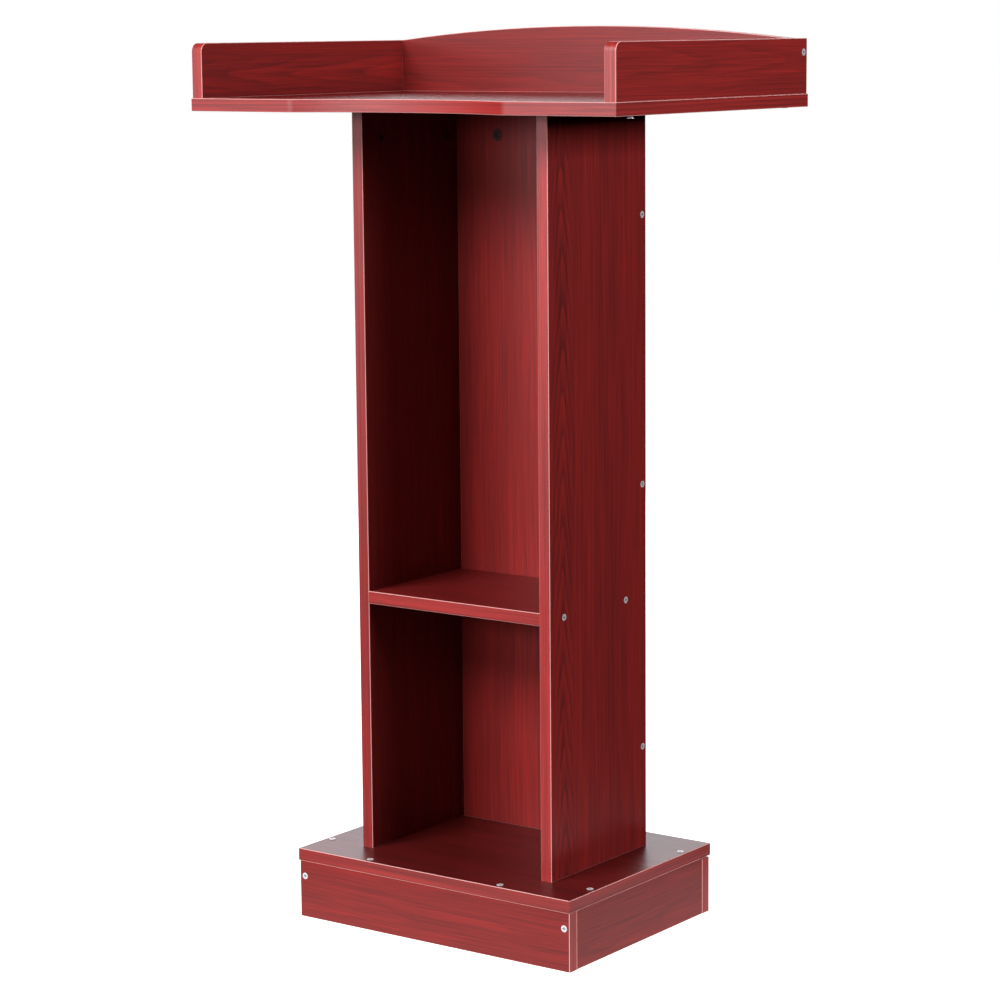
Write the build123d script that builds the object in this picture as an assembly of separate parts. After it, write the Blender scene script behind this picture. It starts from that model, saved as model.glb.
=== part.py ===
from build123d import *
import os

# Lectern of laminated board: a low plinth, a three-sided column open towards the speaker with
# one fixed shelf, and a wide reading desk with a raised rim on three sides.
# +Z is up. The origin is on the floor, at the middle of the footprint.
# The speaker stands at -Y. "Left" is -X and "right" is +X, as the speaker sees them.
# All sizes are in millimetres.

# Boards and their plastic edge bands
BOARD = 15.0
BAND = 1.0
BAND_EASE = 0.6
CUT_EASE = 0.4
HALF_BOARD = BOARD / 2

# Plinth: four upright boards under an overhanging top board
BASE_WIDTH = 400.0
BASE_DEPTH = 300.0
BASE_OVERHANG = 1.0
PLINTH_HEIGHT = 70.0
PLINTH_BACK_DROP = 2.0
PLINTH_BACK_GAP = 1.0

# Column
COLUMN_WIDTH = 280.0
COLUMN_DEPTH = 200.0
COLUMN_HEIGHT = 888.0
SHELF_RISE = 317.0

# Desk, with a shallow bow cut from its front edge
DESK_WIDTH = 600.0
DESK_DEPTH = 400.0
SCOOP_HALF_WIDTH = 150.0
SCOOP_DEPTH = 36.0
SCOOP_CORNER_RADIUS = 18.0
RIM_INSET = 1.0
RIM_HEIGHT = 64.0
RIM_CROWN = 80.0
RIM_CORNER_RADIUS = 10.0

# Fasteners, spaced on a 32 mm grid
GRID = 32.0
SCREW_LENGTH = 38.0
SCREW_HEAD_RADIUS = 4.0
SCREW_SHANK_RADIUS = 2.0
SCREW_RIM = 0.4
RECESS_SPAN = 4.6
RECESS_WIDTH = 0.9
RECESS_DEPTH = 2.0
SCREW_PROUD = 0.6
LOOSE_SCREW_PROUD = 3.0
CORNER_SCREW_HEIGHT = 51.0
CORNER_DOWEL_HEIGHT = 19.0
RIM_SCREW_RISE = 48.0
DOWEL_RADIUS = 4.0
DOWEL_LENGTH = 30.0
DOWEL_CHAMFER = 0.8
DOWEL_IN_FACE = 10.0
CAM_RADIUS = 7.5
CAM_DEPTH = 12.5
CAM_EASE = 0.5
CAM_DROP = 34.0
CAM_POCKET = 7.6
CAM_POCKET_BACK = 2.0
CAM_RECESS_SPAN = 8.0
CAM_RECESS_WIDTH = 1.4
CAM_RECESS_DEPTH = 1.8
BOLT_RADIUS = 3.0
BOLT_HEAD_RADIUS = 3.5
BOLT_HEAD_HALF_LENGTH = 1.5
BOLT_THREAD = 10.0

# Places worked out from the sizes above
BASE_TOP = PLINTH_HEIGHT + BOARD
DESK_BOTTOM = BASE_TOP + COLUMN_HEIGHT
DESK_TOP = DESK_BOTTOM + BOARD
SHELF_TOP = BASE_TOP + SHELF_RISE
SHELF_BOTTOM = SHELF_TOP - BOARD
PLINTH_X = BASE_WIDTH / 2 - BASE_OVERHANG
PLINTH_Y = BASE_DEPTH / 2 - BASE_OVERHANG
COLUMN_X = COLUMN_WIDTH / 2
COLUMN_Y = COLUMN_DEPTH / 2
DESK_X = DESK_WIDTH / 2
DESK_Y = DESK_DEPTH / 2
RIM_X = DESK_X - RIM_INSET
RIM_Y = DESK_Y - RIM_INSET
CAM_HEIGHT = DESK_BOTTOM - CAM_DROP

LEFT_AND_RIGHT = (("left", -1), ("right", 1))
OUTWARD = {"-x": (-1, 0, 0), "+x": (1, 0, 0), "-y": (0, -1, 0), "+y": (0, 1, 0)}
UP = (0, 0, 1)
DOWN = (0, 0, -1)


# ---- Plain shapes -------------------------------------------------------------------------

def slab(x, y, z):
    """Box between a low and a high limit along each axis."""
    centre = Pos((x[0] + x[1]) / 2, (y[0] + y[1]) / 2, (z[0] + z[1]) / 2)
    return centre * Box(x[1] - x[0], y[1] - y[0], z[1] - z[0])


def span(side, inner, outer):
    """Limits from inner to outer on the left (-1) or right (+1) of the middle."""
    return tuple(sorted((side * inner, side * outer)))


def long_edges(solid, face):
    """The two long edges of the face named by its outward direction, such as "-y"."""
    axis = {"x": Axis.X, "y": Axis.Y, "z": Axis.Z}[face[1]]
    outer_face = solid.faces().sort_by(axis)[-1 if face[0] == "+" else 0]
    return outer_face.edges().sort_by(SortBy.LENGTH)[-2:]


def eased_strip(limits, face):
    """Edge band strip with a small bevel along the two long edges of its outer face."""
    strip = slab(**limits)
    return strip.chamfer(BAND_EASE, None, long_edges(strip, face))


def cut_board(x, y, z, cut_faces):
    """Rectangular board with the laminate eased along the sawn faces named."""
    board = slab(x, y, z)
    edges = [edge for face in cut_faces for edge in long_edges(board, face)]
    return board.chamfer(CUT_EASE, None, edges) if edges else board


def banded_board(x, y, z, banded_faces, cut_faces=()):
    """Core of a rectangular board, and the strips glued on the banded faces."""
    limits = {"x": x, "y": y, "z": z}
    strips = []
    for face in banded_faces:
        low, high = limits[face[1]]
        inside = (low + BAND, high) if face[0] == "-" else (low, high - BAND)
        strip = (low, low + BAND) if face[0] == "-" else (high - BAND, high)
        strips.append(eased_strip({**limits, face[1]: strip}, face))
        limits[face[1]] = inside
    return cut_board(**limits, cut_faces=cut_faces), strips


def turned(points):
    """Solid turned about Z from a closed outline of (radius, height) points."""
    return revolve(make_face(Plane.XZ * Polyline(*points, close=True)), Axis.Z)


def set_at(solid, spot, outward):
    """The solid, with its own +Z turned to point outward from the spot."""
    return Plane(origin=spot, z_dir=outward).location * solid


# ---- Fasteners ----------------------------------------------------------------------------

def cross_recess(width_across, blade, depth):
    """Tapered cross cut down from z = 0, for a screwdriver."""
    top = width_across / 2
    bottom = top / 2
    side_view = Polyline((-top, 0), (top, 0), (bottom, -depth), (-bottom, -depth), close=True)
    wing = extrude(make_face(Plane.XZ * side_view), blade / 2, both=True)
    return wing + Rot(0, 0, 90) * wing


def screw_envelope():
    """Countersunk screw along -Z, with the flat of its head at z = 0."""
    neck = SCREW_RIM + SCREW_HEAD_RADIUS - SCREW_SHANK_RADIUS
    return turned([
        (0, 0),
        (SCREW_HEAD_RADIUS, 0),
        (SCREW_HEAD_RADIUS, -SCREW_RIM),
        (SCREW_SHANK_RADIUS, -neck),
        (SCREW_SHANK_RADIUS, -SCREW_LENGTH + 2 * SCREW_SHANK_RADIUS),
        (0, -SCREW_LENGTH),
    ])


def screw():
    return screw_envelope() - cross_recess(RECESS_SPAN, RECESS_WIDTH, RECESS_DEPTH)


def dowel_envelope():
    """Straight hole that starts at z = 0 and runs along -Z."""
    return Pos(0, 0, -DOWEL_LENGTH / 2) * Cylinder(DOWEL_RADIUS, DOWEL_LENGTH)


def dowel():
    body = dowel_envelope()
    return body.chamfer(DOWEL_CHAMFER, None, body.edges().filter_by(GeomType.CIRCLE))


def cam_bore():
    return Pos(0, 0, -CAM_DEPTH / 2) * Cylinder(CAM_RADIUS, CAM_DEPTH)


def cam_lock():
    """Drum with its face at z = 0 and a pocket open towards +Y, where the bolt's head comes in."""
    body = cam_bore()
    rim = body.faces().sort_by(Axis.Z)[-1].edges()
    body = body.chamfer(CAM_EASE, None, rim)
    half = CAM_POCKET / 2
    pocket = slab((-half, half), (-CAM_POCKET_BACK, CAM_RADIUS), (-HALF_BOARD - half, -HALF_BOARD + half))
    return body - pocket - cross_recess(CAM_RECESS_SPAN, CAM_RECESS_WIDTH, CAM_RECESS_DEPTH)


def cam_bolt():
    """Bolt with its thread above z = 0, in the desk, and its head down in the cam."""
    head_top = -CAM_DROP + BOLT_HEAD_HALF_LENGTH
    head_bottom = -CAM_DROP - BOLT_HEAD_HALF_LENGTH
    return turned([
        (0, BOLT_THREAD),
        (BOLT_RADIUS, BOLT_THREAD),
        (BOLT_RADIUS, -CAM_DROP + CAM_RADIUS),
        (BOLT_RADIUS / 2, -CAM_DROP + CAM_RADIUS - BOLT_RADIUS / 2),
        (BOLT_RADIUS / 2, head_top),
        (BOLT_HEAD_RADIUS, head_top),
        (BOLT_HEAD_RADIUS, head_bottom),
        (0, head_bottom),
    ])


def bolt_bores():
    """Thread hole in the desk above z = 0, and a wider clearance hole in the panel below it."""
    thread = Pos(0, 0, BOLT_THREAD / 2) * Cylinder(BOLT_RADIUS, BOLT_THREAD)
    clearance = Pos(0, 0, -CAM_DROP / 2) * Cylinder(BOLT_HEAD_RADIUS, CAM_DROP)
    return thread + clearance


def plinth_corner_places(height, depth):
    """Points at each corner of the plinth, depth outside its front and back faces."""
    x = PLINTH_X - HALF_BOARD
    y = PLINTH_Y + depth
    return [((sx * x, sy * y, height), (0, sy, 0)) for sx in (-1, 1) for sy in (-1, 1)]


def base_top_places():
    height = BASE_TOP + SCREW_PROUD
    side_x = PLINTH_X - HALF_BOARD
    end_y = PLINTH_Y - HALF_BOARD
    sides = [((sx * side_x, sy * 3 * GRID, height), UP) for sx in (-1, 1) for sy in (-1, 1)]
    ends = [((sx * 3 * GRID, sy * end_y, height), UP) for sx in (-1, 1) for sy in (-1, 1)]
    return sides + ends


def column_edge_places(along, height, outward):
    """Points on the centre lines of the three column panels, either side of each one's middle."""
    side_x = COLUMN_X - HALF_BOARD
    back_y = COLUMN_Y - HALF_BOARD
    in_sides = [((sx * side_x, sy * along, height), outward) for sx in (-1, 1) for sy in (-1, 1)]
    in_back = [((sx * along, back_y, height), outward) for sx in (-1, 1)]
    return in_sides + in_back


def column_back_places():
    middle = BASE_TOP + COLUMN_HEIGHT / 2
    back_y = COLUMN_Y - HALF_BOARD
    return [((side * COLUMN_X, back_y, middle + step * 10 * GRID), (side, 0, 0))
            for side in (-1, 1) for step in (-1, 0, 1)]


def shelf_places():
    middle_y = -HALF_BOARD
    height = SHELF_TOP - HALF_BOARD
    return [((side * COLUMN_X, middle_y + step * 2 * GRID, height), (side, 0, 0))
            for side in (-1, 1) for step in (-1, 1)]


def rim_side_places():
    """Points under the desk. The screw at the front right is driven less far in than the others."""
    proud = {(1, -1): LOOSE_SCREW_PROUD}
    x = RIM_X - HALF_BOARD
    return [((sx * x, sy * 5 * GRID, DESK_BOTTOM - proud.get((sx, sy), SCREW_PROUD)), DOWN)
            for sx in (-1, 1) for sy in (-1, 1)]


def rim_back_places():
    height = DESK_BOTTOM - SCREW_PROUD
    return [((step * 6 * GRID, RIM_Y - HALF_BOARD, height), DOWN) for step in (-1, 0, 1)]


def rim_end_places():
    return [((side * RIM_X, RIM_Y - HALF_BOARD, DESK_TOP + RIM_SCREW_RISE), (side, 0, 0)) for side in (-1, 1)]


SCREW_GROUPS = {
    "plinth_corner_screws": plinth_corner_places(CORNER_SCREW_HEIGHT, 0),
    "base_top_screws": base_top_places(),
    "column_base_screws": column_edge_places(2 * GRID, PLINTH_HEIGHT, DOWN),
    "column_back_screws": column_back_places(),
    "shelf_screws": shelf_places(),
    "rim_side_screws": rim_side_places(),
    "rim_back_screws": rim_back_places(),
    "rim_end_screws": rim_end_places(),
}
DOWEL_GROUPS = {
    "plinth_corner_dowels": plinth_corner_places(CORNER_DOWEL_HEIGHT, DOWEL_IN_FACE - BOARD),
    "column_top_dowels": column_edge_places(GRID, DESK_BOTTOM + DOWEL_IN_FACE, UP),
}
BOLT_PLACES = column_edge_places(2 * GRID, DESK_BOTTOM, UP)


def cam_planes():
    """Planes on the inner faces of the column, with +Y up, where the cams go in."""
    inner_x = COLUMN_X - BOARD
    inner_y = COLUMN_Y - BOARD
    in_sides = [Plane(origin=(sx * inner_x, sy * 2 * GRID, CAM_HEIGHT), x_dir=(0, -sx, 0), z_dir=(-sx, 0, 0))
                for sx in (-1, 1) for sy in (-1, 1)]
    in_back = [Plane(origin=(sx * 2 * GRID, inner_y, CAM_HEIGHT), x_dir=(1, 0, 0), z_dir=(0, -1, 0))
               for sx in (-1, 1)]
    return in_sides + in_back


def all_bores():
    """Every hole to be drilled, whichever boards it passes through."""
    bores = [set_at(screw_envelope(), *place) for places in SCREW_GROUPS.values() for place in places]
    bores += [set_at(dowel_envelope(), *place) for places in DOWEL_GROUPS.values() for place in places]
    bores += [set_at(bolt_bores(), *place) for place in BOLT_PLACES]
    bores += [plane.location * cam_bore() for plane in cam_planes()]
    return bores


def touches(first, second):
    """True when the bounding boxes of two shapes meet."""
    a = first.bounding_box()
    b = second.bounding_box()
    apart = (a.min.X > b.max.X or b.min.X > a.max.X
             or a.min.Y > b.max.Y or b.min.Y > a.max.Y
             or a.min.Z > b.max.Z or b.min.Z > a.max.Z)
    return not apart


def drilled(board, bores):
    for bore in bores:
        if touches(board, bore):
            board = board - bore
    return board


# ---- Boards -------------------------------------------------------------------------------

def plinth(nodes):
    inner_x = PLINTH_X - BOARD
    inner_y = PLINTH_Y - BOARD
    full_x = (-PLINTH_X, PLINTH_X)
    ends = ["-x", "+x"]
    cuts = ["-z", "+z"]
    back_z = (0, PLINTH_HEIGHT - PLINTH_BACK_DROP)
    front, front_bands = banded_board(full_x, (-PLINTH_Y, -inner_y), (0, PLINTH_HEIGHT), ends, cuts)
    back, back_bands = banded_board(full_x, (inner_y, PLINTH_Y), back_z, ends, cuts)
    nodes["plinth_front_board"] = [front]
    nodes["plinth_front_edge_bands"] = front_bands
    nodes["plinth_back_board"] = [back]
    nodes["plinth_back_edge_bands"] = back_bands
    for name, side in LEFT_AND_RIGHT:
        limits_x = span(side, inner_x, PLINTH_X)
        limits_y = (-inner_y, inner_y - PLINTH_BACK_GAP)
        board = cut_board(limits_x, limits_y, (0, PLINTH_HEIGHT), cuts + ["-y", "+y"])
        nodes[f"plinth_{name}_board"] = [board]


def base_top(nodes):
    limits_x = (-BASE_WIDTH / 2, BASE_WIDTH / 2)
    limits_y = (-BASE_DEPTH / 2, BASE_DEPTH / 2)
    core, bands = banded_board(limits_x, limits_y, (PLINTH_HEIGHT, BASE_TOP), list(OUTWARD))
    nodes["base_top_board"] = [core]
    nodes["base_top_edge_bands"] = bands


def column(nodes):
    inner_x = COLUMN_X - BOARD
    inner_y = COLUMN_Y - BOARD
    upright = (BASE_TOP, DESK_BOTTOM)
    for name, side in LEFT_AND_RIGHT:
        limits_x = span(side, inner_x, COLUMN_X)
        core, bands = banded_board(limits_x, (-COLUMN_Y, COLUMN_Y), upright, ["-y", "+y"], ["-z", "+z"])
        nodes[f"column_{name}_panel"] = [core]
        nodes[f"column_{name}_edge_bands"] = bands
    between = (-inner_x, inner_x)
    nodes["column_back_panel"] = [cut_board(between, (inner_y, COLUMN_Y), upright, ["-x", "+x", "-z", "+z"])]
    shelf_z = (SHELF_BOTTOM, SHELF_TOP)
    shelf, shelf_band = banded_board(between, (-COLUMN_Y, inner_y), shelf_z, ["-y"], ["-x", "+x", "+y"])
    nodes["shelf_board"] = [shelf]
    nodes["shelf_edge_band"] = shelf_band


def desk_outline():
    """Plan of the desk, with the bow in its front edge and its two corners rounded."""
    front = -DESK_Y
    left_end = (-SCOOP_HALF_WIDTH, front)
    right_end = (SCOOP_HALF_WIDTH, front)
    bow = ThreePointArc(left_end, (0, front + SCOOP_DEPTH), right_end)
    rest = Polyline(right_end, (DESK_X, front), (DESK_X, DESK_Y), (-DESK_X, DESK_Y), (-DESK_X, front), left_end)
    outline = make_face(bow + rest)
    corners = [v for v in outline.vertices() if abs(v.X) < DESK_X - 1]
    return fillet(corners, SCOOP_CORNER_RADIUS)


def desk(nodes):
    plan = Pos(0, 0, DESK_BOTTOM) * desk_outline()
    whole = extrude(plan, BOARD)
    flats = whole.faces().sort_by(Axis.Z)
    eased = whole.chamfer(BAND_EASE, None, flats[0].edges() + flats[-1].edges())
    core = extrude(offset(plan, -BAND, kind=Kind.INTERSECTION), BOARD)
    height = (DESK_BOTTOM, DESK_TOP)
    inner_x = DESK_X - BAND
    _, straight_bands = banded_board((-DESK_X, DESK_X), (-DESK_Y, DESK_Y), height, ["-y", "+y", "-x", "+x"])
    front_region = slab((-DESK_X, DESK_X), (-DESK_Y, -DESK_Y + BAND), height)
    front_region += slab((-inner_x, inner_x), (-DESK_Y, 0), height)
    front_band = (eased - core) & front_region
    nodes["desk_board"] = [core]
    nodes["desk_edge_bands"] = [front_band] + straight_bands[1:]


def rim_side_outline(inset):
    """Side view of a rim panel in the YZ plane, set in from its front and top edges."""
    low_y = -RIM_Y + inset
    top_z = DESK_TOP + RIM_HEIGHT - inset
    corners = [(low_y, DESK_TOP), (low_y, top_z), (RIM_Y - BAND, top_z), (RIM_Y - BAND, DESK_TOP)]
    face = make_face(Polyline(*corners, close=True))
    rounded = [v for v in face.vertices() if v.X < 0 and v.Y > DESK_TOP + 1]
    return fillet(rounded, RIM_CORNER_RADIUS - inset)


def rim_sides(nodes):
    """Rim panels at both ends of the desk. One strip runs up the front edge and along the top."""
    for name, side in LEFT_AND_RIGHT:
        limits_x = span(side, RIM_X - BOARD, RIM_X)
        plane = Plane(origin=(limits_x[0], 0, 0), x_dir=(0, 1, 0), z_dir=(1, 0, 0))
        whole = extrude(plane * rim_side_outline(0), BOARD)
        core = extrude(plane * rim_side_outline(BAND), BOARD)
        cheeks = whole.faces().sort_by(Axis.X)
        rims = cheeks[0].edges() + cheeks[-1].edges()
        outer_edges = [e for e in rims if e.center().Z > DESK_TOP + 1 and e.center().Y < RIM_Y - 2 * BAND]
        front_and_top = whole.chamfer(BAND_EASE, None, outer_edges) - core
        back_limits = {"x": limits_x, "y": (RIM_Y - BAND, RIM_Y), "z": (DESK_TOP, DESK_TOP + RIM_HEIGHT)}
        nodes[f"rim_{name}_panel"] = [core.chamfer(CUT_EASE, None, long_edges(core, "-z"))]
        nodes[f"rim_{name}_edge_bands"] = [front_and_top, eased_strip(back_limits, "+y")]


def crown_radius():
    """Radius of the arched top, from its chord and its rise."""
    half_chord = RIM_X - BOARD
    rise = RIM_CROWN - RIM_HEIGHT
    return (half_chord ** 2 + rise ** 2) / (2 * rise)


def arched_board(radius):
    """Rear rim panel whose arched top has the given radius about the crown's centre."""
    half = RIM_X - BOARD
    centre_z = DESK_TOP + RIM_CROWN - crown_radius()
    blank = slab((-half, half), (RIM_Y - BOARD, RIM_Y), (DESK_TOP, DESK_TOP + RIM_CROWN))
    disc = Pos(0, RIM_Y - HALF_BOARD, centre_z) * Rot(90, 0, 0) * Cylinder(radius, BOARD)
    return blank & disc


def rim_back(nodes):
    whole = arched_board(crown_radius())
    core = arched_board(crown_radius() - BAND)
    crown = [e for e in whole.edges() if e.geom_type == GeomType.CIRCLE]
    cuts = long_edges(core, "-z") + core.edges().filter_by(Axis.Z)
    nodes["rim_back_panel"] = [core.chamfer(CUT_EASE, None, cuts)]
    nodes["rim_back_edge_band"] = [whole.chamfer(BAND_EASE, None, crown) - core]


# ---- Assembly -----------------------------------------------------------------------------

def build():
    nodes = {}
    plinth(nodes)
    base_top(nodes)
    column(nodes)
    desk(nodes)
    rim_sides(nodes)
    rim_back(nodes)
    bores = all_bores()
    for name, solids in nodes.items():
        nodes[name] = [drilled(solid, bores) for solid in solids]
    for name, places in SCREW_GROUPS.items():
        nodes[name] = [set_at(screw(), *place) for place in places]
    for name, places in DOWEL_GROUPS.items():
        nodes[name] = [set_at(dowel(), *place) for place in places]
    nodes["cam_locks"] = [plane.location * cam_lock() for plane in cam_planes()]
    nodes["cam_bolts"] = [set_at(cam_bolt(), *place) for place in BOLT_PLACES]
    return nodes


os.makedirs("parts", exist_ok=True)
for node, shapes in build().items():
    solids = [solid for shape in shapes for solid in shape.solids()]
    assembly = solids[0] if len(solids) == 1 else Compound(children=solids)
    export_step(assembly, f"parts/{node}.step")
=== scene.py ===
import math

import bpy
from mathutils import Euler, Matrix, Vector


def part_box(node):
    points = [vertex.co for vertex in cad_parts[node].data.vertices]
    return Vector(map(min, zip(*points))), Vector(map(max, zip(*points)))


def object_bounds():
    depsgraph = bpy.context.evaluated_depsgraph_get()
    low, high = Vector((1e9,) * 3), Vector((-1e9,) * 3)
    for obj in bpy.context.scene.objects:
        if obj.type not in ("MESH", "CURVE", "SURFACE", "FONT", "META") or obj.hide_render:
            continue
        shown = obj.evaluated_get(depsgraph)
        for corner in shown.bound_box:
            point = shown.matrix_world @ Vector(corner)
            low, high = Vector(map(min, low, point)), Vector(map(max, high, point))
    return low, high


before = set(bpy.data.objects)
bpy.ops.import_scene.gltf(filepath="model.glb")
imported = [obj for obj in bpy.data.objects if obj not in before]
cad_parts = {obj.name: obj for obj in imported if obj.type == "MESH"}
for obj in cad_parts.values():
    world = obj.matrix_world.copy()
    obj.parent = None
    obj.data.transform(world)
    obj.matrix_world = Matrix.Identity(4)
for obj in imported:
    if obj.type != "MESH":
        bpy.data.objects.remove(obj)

# Looks of the laminated lectern. The frame's nodes are its boards, edge bands and fasteners, and
# every one of them is shown with a procedural material. Metres throughout.

CAD_LOW, CAD_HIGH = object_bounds()
AXES = {"x": 0, "y": 1, "z": 2}


# ---- Node graphs --------------------------------------------------------------------------

class Graph:
    """A material's node tree, with short calls for the nodes used here."""

    def __init__(self, name):
        self.material = bpy.data.materials.new(name)
        self.material.use_nodes = True
        self.tree = self.material.node_tree
        self.shader = self.tree.nodes["Principled BSDF"]

    def set(self, socket, value):
        """Links value to the socket if it is an output, or else sets it."""
        if isinstance(value, bpy.types.NodeSocket):
            self.tree.links.new(value, socket)
        else:
            socket.default_value = value

    def shade(self, name, value):
        """Links or sets the shader's input of that name."""
        self.set(self.shader.inputs[name], value)

    def math(self, operation, *values):
        node = self.tree.nodes.new("ShaderNodeMath")
        node.operation = operation
        for socket, value in zip(node.inputs, values):
            self.set(socket, value)
        return node.outputs[0]

    def vector(self, x, y, z):
        node = self.tree.nodes.new("ShaderNodeCombineXYZ")
        for socket, value in zip(node.inputs, (x, y, z)):
            self.set(socket, value)
        return node.outputs[0]

    def scaled(self, place, per_metre):
        """The place as a vector of cells, with so many of them for each metre."""
        return self.vector(*[self.math("MULTIPLY", part, per_metre) for part in place])

    def noise(self, vector, detail=2.0):
        """Noise from 0 to 1, with one cell for each unit of the vector."""
        node = self.tree.nodes.new("ShaderNodeTexNoise")
        node.inputs["Scale"].default_value = 1.0
        node.inputs["Detail"].default_value = detail
        node.inputs["Roughness"].default_value = 0.5
        self.set(node.inputs["Vector"], vector)
        return node.outputs["Fac"]

    def cells(self, vector):
        """Random colour of each Voronoi cell, with one cell for each unit of the vector."""
        node = self.tree.nodes.new("ShaderNodeTexVoronoi")
        node.inputs["Scale"].default_value = 1.0
        node.inputs["Randomness"].default_value = 1.0
        self.set(node.inputs["Vector"], vector)
        return node.outputs["Color"]

    def ramp(self, factor, *stops):
        """Colour from (position, (r, g, b)) stops."""
        node = self.tree.nodes.new("ShaderNodeValToRGB")
        elements = node.color_ramp.elements
        while len(elements) < len(stops):
            elements.new(0.5)
        for element, (position, colour) in zip(elements, stops):
            element.position = position
            element.color = (*colour, 1.0)
        self.set(node.inputs["Fac"], factor)
        return node.outputs["Color"]

    def remap(self, value, low, high, to_low=0.0, to_high=1.0):
        """Smooth step from to_low to to_high as the value goes from low to high."""
        node = self.tree.nodes.new("ShaderNodeMapRange")
        node.interpolation_type = "SMOOTHSTEP"
        for socket, number in zip(node.inputs, (value, low, high, to_low, to_high)):
            self.set(socket, number)
        return node.outputs["Result"]

    def mix(self, factor, first, second):
        """The first colour where the factor is 0 and the second where it is 1."""
        node = self.tree.nodes.new("ShaderNodeMix")
        node.data_type = "RGBA"
        for name, value in (("Factor", factor), ("A", first), ("B", second)):
            socket = [s for s in node.inputs if s.name == name and s.enabled][0]
            self.set(socket, (*value, 1.0) if isinstance(value, tuple) else value)
        return [s for s in node.outputs if s.enabled][0]

    def bump(self, height, distance):
        node = self.tree.nodes.new("ShaderNodeBump")
        node.inputs["Distance"].default_value = distance
        node.inputs["Strength"].default_value = 1.0
        self.set(node.inputs["Height"], height)
        self.shade("Normal", node.outputs["Normal"])

    def place(self):
        """The three coordinates of the shaded point, in metres."""
        coordinates = self.tree.nodes.new("ShaderNodeTexCoord")
        split = self.tree.nodes.new("ShaderNodeSeparateXYZ")
        self.set(split.inputs[0], coordinates.outputs["Object"])
        return split.outputs

    def facing(self, axis):
        """How squarely the surface faces along an axis, from 0 to 1."""
        geometry = self.tree.nodes.new("ShaderNodeNewGeometry")
        split = self.tree.nodes.new("ShaderNodeSeparateXYZ")
        self.set(split.inputs[0], geometry.outputs["True Normal"])
        return self.math("ABSOLUTE", split.outputs[AXES[axis]])

    def openness(self, distance):
        """From 0 deep inside a narrow recess of the object itself to 1 on an open face, for painted
        shade in recesses.
        """
        node = self.tree.nodes.new("ShaderNodeAmbientOcclusion")
        node.samples = 8
        node.only_local = True
        node.inputs["Distance"].default_value = distance
        return node.outputs["AO"]


# ---- Printed grain ------------------------------------------------------------------------

# Streaks of the print: length, width, weight, and a shift of the seed.
GRAIN_LAYERS = (
    (0.80, 0.0300, 0.46, 11.0),
    (0.35, 0.0060, 0.32, 17.0),
    (0.16, 0.0022, 0.85, 29.0),
)
FIBRE_LENGTH, FIBRE_WIDTH, FIBRE_WEIGHT, FIBRE_SHIFT = 0.060, 0.0009, 0.70, 23.0
FIBRE_DETAIL = 3.0
# How far the grain wanders sideways, and how many times for each metre along it.
BEND_REACH, BEND_RATE = 0.010, 3.0

ARCH_SHIFT = 3.0
ARCH_TIP_RADIUS = 0.003
ARCH_WOBBLE_LENGTH, ARCH_WOBBLE_WIDTH = 0.10, 0.014
ARCH_FADE = 1.8
ARCH_LINE_START = 0.12
ARCH_MEAN = 0.33
ARCH_FULL_WITHIN, ARCH_GONE_BEYOND = 0.008, 0.028


def streaks(graph, along, across, length, width, seed, detail=2.0):
    """Noise about 0, stretched into streaks of a length and a width."""
    place = graph.vector(graph.math("MULTIPLY", along, 1 / length),
                         graph.math("MULTIPLY", across, 1 / width), seed)
    return graph.math("SUBTRACT", graph.noise(place, detail), 0.5)


def arches(graph, along, across, seed, figure):
    """Outlines, and their pale cores below 0, of the arches that a board sawn near its heart shows.

    figure is (centre, pitch, slant, strength): the line across the grain that the arches stand
    on, their distance apart, how narrow they are for their length, and how dark they are. They
    point along the grain, or against it where the pitch is negative.
    """
    centre, pitch, slant, strength = figure
    offset = graph.math("SUBTRACT", across, centre)
    squared = graph.math("MULTIPLY", offset, offset)
    reach = graph.math("SQRT", graph.math("ADD", squared, ARCH_TIP_RADIUS ** 2))
    phase = graph.math("ADD", graph.math("MULTIPLY", along, 1 / pitch),
                       graph.math("MULTIPLY", reach, 1 / (abs(pitch) * slant)))
    wobble = streaks(graph, along, across, ARCH_WOBBLE_LENGTH, ARCH_WOBBLE_WIDTH, seed)
    ring = graph.math("FRACT", graph.math("ADD", phase, wobble))
    fade = graph.math("POWER", graph.math("SUBTRACT", 1.0, ring), ARCH_FADE)
    outline = graph.math("MULTIPLY", fade, graph.remap(ring, 0.0, ARCH_LINE_START))
    contrast = graph.math("SUBTRACT", outline, ARCH_MEAN)
    window = graph.remap(graph.math("ABSOLUTE", offset), ARCH_GONE_BEYOND, ARCH_FULL_WITHIN)
    return graph.math("MULTIPLY", graph.math("MULTIPLY", contrast, window), strength)


def printed_grain(graph, along, across, coarse, seed, figure):
    """Value from dark to light of a printed wood grain, and its finest fibres."""
    bend_place = graph.vector(graph.math("MULTIPLY", along, BEND_RATE), seed, 0.0)
    bend = graph.noise(bend_place, 1.0)
    bent = graph.math("ADD", across, graph.math("MULTIPLY", bend, BEND_REACH))
    fibre = streaks(graph, along, bent, FIBRE_LENGTH, FIBRE_WIDTH, seed + FIBRE_SHIFT, FIBRE_DETAIL)
    value = graph.math("ADD", 0.50, graph.math("MULTIPLY", fibre, FIBRE_WEIGHT))
    for length, width, weight, shift in GRAIN_LAYERS:
        layer = streaks(graph, along, bent, length, coarse * width, seed + shift)
        value = graph.math("ADD", value, graph.math("MULTIPLY", layer, weight))
    value = graph.math("SUBTRACT", value, arches(graph, along, bent, seed + ARCH_SHIFT, figure))
    return value, fibre


# ---- Laminate and edge bands --------------------------------------------------------------

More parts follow.
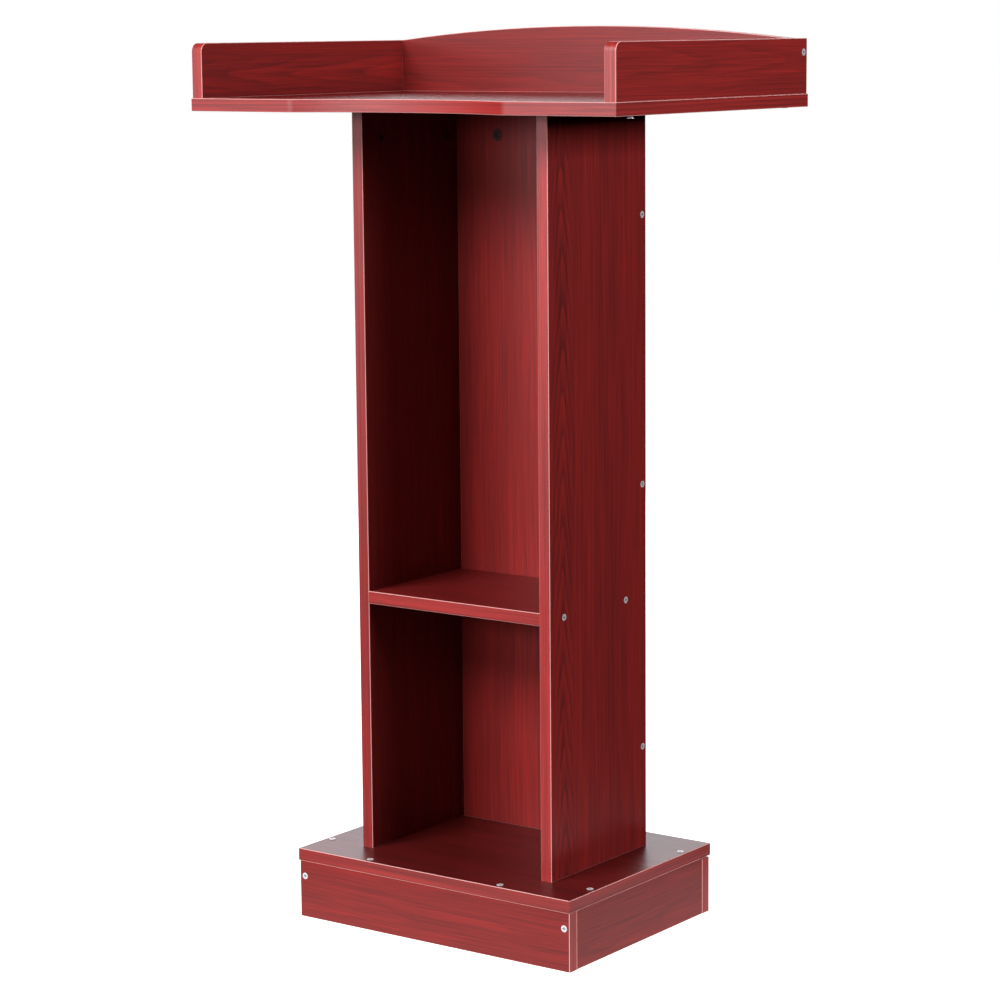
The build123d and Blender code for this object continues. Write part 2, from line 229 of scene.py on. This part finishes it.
# Dark, middle and light colour.
LAMINATE_PRINT = ((0.120, 0.0140, 0.0140), (0.245, 0.0190, 0.0172), (0.390, 0.0245, 0.0200))
BAND_PRINT = ((0.260, 0.0220, 0.0205), (0.430, 0.0310, 0.0275), (0.600, 0.0410, 0.0340))
CHIPBOARD = ((0.22, 0.13, 0.07), (0.42, 0.28, 0.16), (0.62, 0.46, 0.29))
BEVEL_TINT = (1.00, 0.50, 0.46)

# How far the print shifts along the grain through a board's thickness.
DEPTH_SHEAR = 3.0
CHIPS_PER_METRE, CHIP_FLECKS_PER_METRE = 420.0, 900.0
CHIP_WEIGHT, CHIP_FLECK_WEIGHT = 0.6, 0.4
SAW_CUT_ROUGHNESS = 0.9
FIBRE_RANGE, POLISH_RANGE = 0.25, 0.035
LAMINATE_SPECULAR = 0.38
LAMINATE_RELIEF = 0.00005

BAND_FIBRE_LENGTH, BAND_FIBRE_WIDTH, BAND_FIBRE_WEIGHT, BAND_FIBRE_SHIFT = 0.050, 0.0010, 0.8, 5.0
BAND_STREAK_LENGTH, BAND_STREAK_WIDTH, BAND_STREAK_WEIGHT = 0.30, 0.0026, 1.5
BAND_ROUGH, BAND_SMOOTH = 0.43, 0.37
BAND_SPECULAR = 0.60
BAND_RELIEF = 0.00004


def three_stops(low, high, colours, painted_lighting_tone=1.0):
    """Ramp stops at low, the middle and high of three colours, with light and shade painted by the
    tone.
    """
    toned = [tuple(painted_lighting_tone * part for part in colour) for colour in colours]
    return zip((low, 0.50, high), toned)


def sawn_chipboard(graph, place):
    chips = graph.cells(graph.scaled(place, CHIPS_PER_METRE))
    flecks = graph.noise(graph.scaled(place, CHIP_FLECKS_PER_METRE), 3.0)
    value = graph.math("ADD", graph.math("MULTIPLY", chips, CHIP_WEIGHT),
                       graph.math("MULTIPLY", flecks, CHIP_FLECK_WEIGHT))
    return graph.ramp(value, *three_stops(0.15, 0.85, CHIPBOARD))


def laminate(name, axes, painted_lighting_tone, roughness, coarse, seed, figure):
    """Semi-gloss printed laminate, with pale eased edges and bare chipboard where it is sawn."""
    grain, across, normal = axes
    graph = Graph(name)
    place = graph.place()
    depth = graph.math("MULTIPLY", place[AXES[normal]], DEPTH_SHEAR)
    along = graph.math("ADD", place[AXES[grain]], depth)
    value, fibre = printed_grain(graph, along, place[AXES[across]], coarse, seed, figure)
    # The tone paints this board's light and shade into its print: painted light above 1, painted
    # shade below 1.
    colour = graph.ramp(value, *three_stops(0.10, 0.90, LAMINATE_PRINT, painted_lighting_tone))

    flat = graph.facing(normal)
    on_bevel = graph.remap(flat, 0.95, 0.80)
    on_saw_cut = graph.remap(flat, 0.45, 0.25)
    colour = graph.mix(on_bevel, colour, BEVEL_TINT)
    colour = graph.mix(on_saw_cut, colour, sawn_chipboard(graph, place))
    graph.shade("Base Color", colour)
    polish = graph.remap(fibre, -FIBRE_RANGE, FIBRE_RANGE,
                         roughness + POLISH_RANGE, roughness - POLISH_RANGE)
    sawn = graph.math("MULTIPLY", on_saw_cut, SAW_CUT_ROUGHNESS)
    graph.shade("Roughness", graph.math("MAXIMUM", polish, sawn))
    graph.shade("Specular IOR Level", LAMINATE_SPECULAR)
    graph.bump(fibre, LAMINATE_RELIEF)
    return graph.material


def edge_band(name, normal, painted_lighting_tone, seed):
    """Glossier printed plastic strip. Its length runs along either axis other than normal."""
    graph = Graph(name)
    place = graph.place()
    others = [place[index] for axis, index in AXES.items() if axis != normal]
    along = graph.math("ADD", *others)
    across = place[AXES[normal]]
    fibre = streaks(graph, along, across, BAND_FIBRE_LENGTH, BAND_FIBRE_WIDTH,
                    seed + BAND_FIBRE_SHIFT, FIBRE_DETAIL)
    broad = streaks(graph, along, across, BAND_STREAK_LENGTH, BAND_STREAK_WIDTH, seed)
    value = graph.math("ADD", graph.math("MULTIPLY", broad, BAND_STREAK_WEIGHT),
                       graph.math("MULTIPLY", fibre, BAND_FIBRE_WEIGHT))
    # The tone paints this band's light and shade into its print: painted light above 1, painted shade
    # below 1.
    colour = graph.ramp(graph.math("ADD", value, 0.5), *three_stops(0.15, 0.85, BAND_PRINT, painted_lighting_tone))

    flat = graph.facing(normal)
    on_bevel = graph.math("MULTIPLY", graph.remap(flat, 0.25, 0.50), graph.remap(flat, 0.97, 0.88))
    graph.shade("Base Color", graph.mix(on_bevel, colour, BEVEL_TINT))
    graph.shade("Roughness", graph.remap(fibre, -FIBRE_RANGE, FIBRE_RANGE, BAND_ROUGH, BAND_SMOOTH))
    graph.shade("Specular IOR Level", BAND_SPECULAR)
    graph.bump(fibre, BAND_RELIEF)
    return graph.material


# ---- Fasteners ----------------------------------------------------------------------------

# Dark and light colour.
ZINC = ((0.84, 0.84, 0.86), (0.97, 0.97, 0.98))
CAM_METAL = ((0.055, 0.016, 0.015), (0.100, 0.026, 0.024))
BEECH = ((0.42, 0.26, 0.13), (0.66, 0.47, 0.27))
MOTTLE_LOW, MOTTLE_HIGH = 0.3, 0.7

# Painted shade for the inside of recesses such as the screws' cross slots, and how far the occlusion
# looks.
PAINTED_RECESS_SHADE = (0.030, 0.045, 0.060)
RECESS_REACH = 0.0015
METAL_RELIEF = 0.00003
BEECH_FLECKS_PER_METRE = 700.0
BEECH_ROUGH, BEECH_SMOOTH = 0.75, 0.6
BEECH_RELIEF = 0.00005


def metal(name, colours, roughness, mottles_per_metre, metallic):
    """Plated metal, faintly mottled in its colour and its polish, with painted shade inside its
    recesses.
    """
    graph = Graph(name)
    mottle = graph.noise(graph.scaled(graph.place(), mottles_per_metre), 3.0)
    colour = graph.ramp(mottle, *zip((MOTTLE_LOW, MOTTLE_HIGH), colours))
    # Painted shade: the colour darkens towards this shade where ambient occlusion finds a narrow
    # recess.
    painted_shade_in_recess = graph.remap(graph.openness(RECESS_REACH), 0.80, 0.45)
    graph.shade("Base Color", graph.mix(painted_shade_in_recess, colour, PAINTED_RECESS_SHADE))
    graph.shade("Roughness", graph.remap(mottle, MOTTLE_LOW, MOTTLE_HIGH,
                                         roughness + 0.08, roughness - 0.05))
    graph.shade("Metallic", metallic)
    graph.bump(mottle, METAL_RELIEF)
    return graph.material


def bare_wood(name, colours):
    """Pale turned wood of the dowels."""
    graph = Graph(name)
    flecks = graph.noise(graph.scaled(graph.place(), BEECH_FLECKS_PER_METRE), 3.0)
    graph.shade("Base Color", graph.ramp(flecks, *zip((MOTTLE_LOW, MOTTLE_HIGH), colours)))
    graph.shade("Roughness", graph.remap(flecks, MOTTLE_LOW, MOTTLE_HIGH, BEECH_ROUGH, BEECH_SMOOTH))
    graph.bump(flecks, BEECH_RELIEF)
    return graph.material


# ---- Materials on the frame's nodes -------------------------------------------------------

# Each board: grain direction, direction across it, normal, its tone (painted light and shade: how
# much lighter or darker its print is made for the light that falls on it), its roughness, how coarse
# its streaks are, and its arches' offset from the middle, pitch, slant and strength.
BOARDS = {
    "base_top_board": ("x", "y", "z", 0.48, 0.36, 0.9, 0.030, 0.160, 0.09, 0.15),
    "plinth_front_board": ("x", "z", "y", 1.00, 0.36, 0.8, -0.004, 0.210, 0.08, 0.12),
    "plinth_back_board": ("x", "z", "y", 1.00, 0.36, 0.8, 0.006, -0.190, 0.08, 0.12),
    "plinth_left_board": ("y", "z", "x", 1.00, 0.36, 0.8, 0.003, 0.170, 0.10, 0.16),
    "plinth_right_board": ("y", "z", "x", 1.00, 0.36, 0.8, -0.012, -0.150, 0.10, 0.16),
    "column_left_panel": ("z", "y", "x", 0.52, 0.36, 1.4, 0.030, 0.085, 0.19, 0.20),
    "column_right_panel": ("z", "y", "x", 1.00, 0.36, 1.8, -0.068, 0.052, 0.17, 0.50),
    "column_back_panel": ("z", "x", "y", 1.30, 0.36, 1.1, 0.060, 0.120, 0.15, 0.20),
    "shelf_board": ("x", "y", "z", 0.80, 0.36, 1.0, -0.040, 0.150, 0.10, 0.18),
    "desk_board": ("x", "y", "z", 1.00, 0.22, 1.0, -0.060, -0.170, 0.10, 0.22),
    "rim_left_panel": ("y", "z", "x", 1.20, 0.36, 0.8, 0.000, -0.130, 0.092, 0.34),
    "rim_right_panel": ("y", "z", "x", 1.30, 0.36, 0.8, 0.016, 0.180, 0.09, 0.22),
    "rim_back_panel": ("x", "z", "y", 1.00, 0.36, 0.7, -0.030, 0.200, 0.09, 0.16),
}
# Each edge band: normal of the board that it closes, and its tone (painted light and shade: how
# much lighter or darker its print is made for the light that falls on it).
BANDS = {
    "base_top_edge_bands": ("z", 0.70),
    "plinth_front_edge_bands": ("y", 0.85),
    "plinth_back_edge_bands": ("y", 0.85),
    "column_left_edge_bands": ("x", 0.75),
    "column_right_edge_bands": ("x", 1.00),
    "shelf_edge_band": ("z", 0.90),
    "desk_edge_bands": ("z", 0.85),
    "rim_left_edge_bands": ("x", 1.00),
    "rim_right_edge_bands": ("x", 1.00),
    "rim_back_edge_band": ("y", 1.00),
}


def middle(node, axis):
    low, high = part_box(node)
    return (low[AXES[axis]] + high[AXES[axis]]) / 2


def dress(node, material):
    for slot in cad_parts[node].material_slots:
        slot.material = material


def dress_all():
    """Gives each board and each set of bands its own print, with painted light and shade, and the
    fasteners metal or wood.
    """
    for index, (node, values) in enumerate(BOARDS.items()):
        *axes, painted_lighting_tone, roughness, coarse, offset, pitch, slant, strength = values
        figure = (middle(node, axes[1]) + offset, pitch, slant, strength)
        seed = 7.0 * index + 1.0
        dress(node, laminate(f"laminate_{node}", axes, painted_lighting_tone, roughness, coarse, seed, figure))
    for index, (node, (normal, painted_lighting_tone)) in enumerate(BANDS.items()):
        dress(node, edge_band(f"band_{node}", normal, painted_lighting_tone, 5.0 * index + 2.0))
    zinc = metal("bright_zinc", ZINC, 0.40, 900.0, 0.35)
    cam_metal = metal("dark_cam_metal", CAM_METAL, 0.38, 700.0, 0.10)
    beech = bare_wood("bare_beech", BEECH)
    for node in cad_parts:
        if node.endswith("_screws") or node == "cam_bolts":
            dress(node, zinc)
        if node.endswith("_dowels"):
            dress(node, beech)
    dress("cam_locks", cam_metal)


# ---- Camera -------------------------------------------------------------------------------

CAMERA_PLACE = (2.0941, -2.8710, 1.0713)
CAMERA_PAN = math.radians(36.14)
CAMERA_TILT = math.radians(8.976)
CAMERA_ROLL = math.radians(0.487)
CAMERA_LENS = 108.53
SENSOR_WIDTH = 36.0


def add_camera():
    data = bpy.data.cameras.new("camera")
    data.sensor_width = SENSOR_WIDTH
    data.lens = CAMERA_LENS
    camera = bpy.data.objects.new("camera", data)
    aim = Euler((math.pi / 2 - CAMERA_TILT, 0.0, CAMERA_PAN)).to_matrix()
    turned = aim @ Matrix.Rotation(-CAMERA_ROLL, 3, "Z")
    camera.location = CAMERA_PLACE
    camera.rotation_euler = turned.to_euler()
    bpy.context.scene.collection.objects.link(camera)
    bpy.context.scene.camera = camera


# ---- Studio -------------------------------------------------------------------------------

# Each softbox: its direction round the object in degrees from the front, positive to the right,
# its distance, the height of its middle, its width, its height and its power.
SOFTBOXES = {
    "key": (-13, 3.3, 2.80, 2.40, 1.2, 132.0),
    "wall": (-28, 3.3, 0.90, 4.00, 1.5, 24.0),
    "strip": (-14, 3.3, 1.30, 2.00, 0.4, 26.0),
    "side": (88, 2.6, 1.45, 1.00, 0.6, 40.0),
    "backdrop": (-143.7, 3.0, 1.40, 3.00, 2.2, 46.0),
}
SOFTBOX_COLOUR = (1.0, 0.98, 1.02)
AIM_SHARE_OF_HEIGHT = 0.55
WHITE = (1.0, 1.0, 1.0, 1.0)
PAPER = (0.8, 0.8, 0.8, 1.0)
FLOOR_SIDES = 96
WIDE_FLOOR_RADIUS, WIDE_FLOOR_GLOW = 60.0, 1.0
BOUNCE_FLOOR_RADIUS, BOUNCE_FLOOR_GLOW, BOUNCE_FLOOR_HEIGHT = 0.48, 0.75, -0.0005


def add_softbox(name, place, target, width, height, power):
    data = bpy.data.lights.new(name, "AREA")
    data.shape = "RECTANGLE"
    data.size = width
    data.size_y = height
    data.energy = power
    data.color = SOFTBOX_COLOUR
    light = bpy.data.objects.new(name, data)
    light.location = place
    aim = Vector(target) - Vector(place)
    light.rotation_euler = aim.to_track_quat("-Z", "Y").to_euler()
    light.visible_camera = False
    bpy.context.scene.collection.objects.link(light)


def add_softboxes():
    target = (0.0, 0.0, AIM_SHARE_OF_HEIGHT * CAD_HIGH[2])
    for name, (degrees, distance, height, width, tall, power) in SOFTBOXES.items():
        turn = math.radians(degrees)
        place = (distance * math.sin(turn), -distance * math.cos(turn), height)
        add_softbox(name, place, target, width, tall, power)


def add_floor(name, radius, height, glow):
    """Plain white disc that gives off light of its own."""
    turns = [math.tau * side / FLOOR_SIDES for side in range(FLOOR_SIDES)]
    corners = [(radius * math.cos(turn), radius * math.sin(turn), height) for turn in turns]
    mesh = bpy.data.meshes.new(name)
    mesh.from_pydata(corners, [], [tuple(range(FLOOR_SIDES))])
    floor = bpy.data.objects.new(name, mesh)
    bpy.context.scene.collection.objects.link(floor)
    graph = Graph(name + "_paper")
    graph.shade("Base Color", PAPER)
    graph.shade("Roughness", 0.9)
    graph.shade("Specular IOR Level", 0.0)
    graph.shade("Emission Color", WHITE)
    graph.shade("Emission Strength", glow)
    mesh.materials.append(graph.material)
    return floor


def add_floors():
    """A wide floor that only the camera sees, and a small one under it that lights the object."""
    wide = add_floor("studio_floor", WIDE_FLOOR_RADIUS, 0.0, WIDE_FLOOR_GLOW)
    wide.visible_diffuse = False
    wide.visible_glossy = False
    bounce = add_floor("studio_floor_bounce", BOUNCE_FLOOR_RADIUS, BOUNCE_FLOOR_HEIGHT,
                       BOUNCE_FLOOR_GLOW)
    bounce.visible_camera = False


def add_world():
    """White behind everything, and seen only by the camera."""
    world = bpy.data.worlds.new("studio")
    world.use_nodes = True
    bpy.context.scene.world = world
    background = world.node_tree.nodes["Background"]
    background.inputs["Color"].default_value = WHITE
    background.inputs["Strength"].default_value = 1.0
    world.cycles_visibility.diffuse = False
    world.cycles_visibility.glossy = False


dress_all()
bpy.context.scene.view_settings.view_transform = "Standard"
add_world()
add_floors()
add_softboxes()
add_camera()
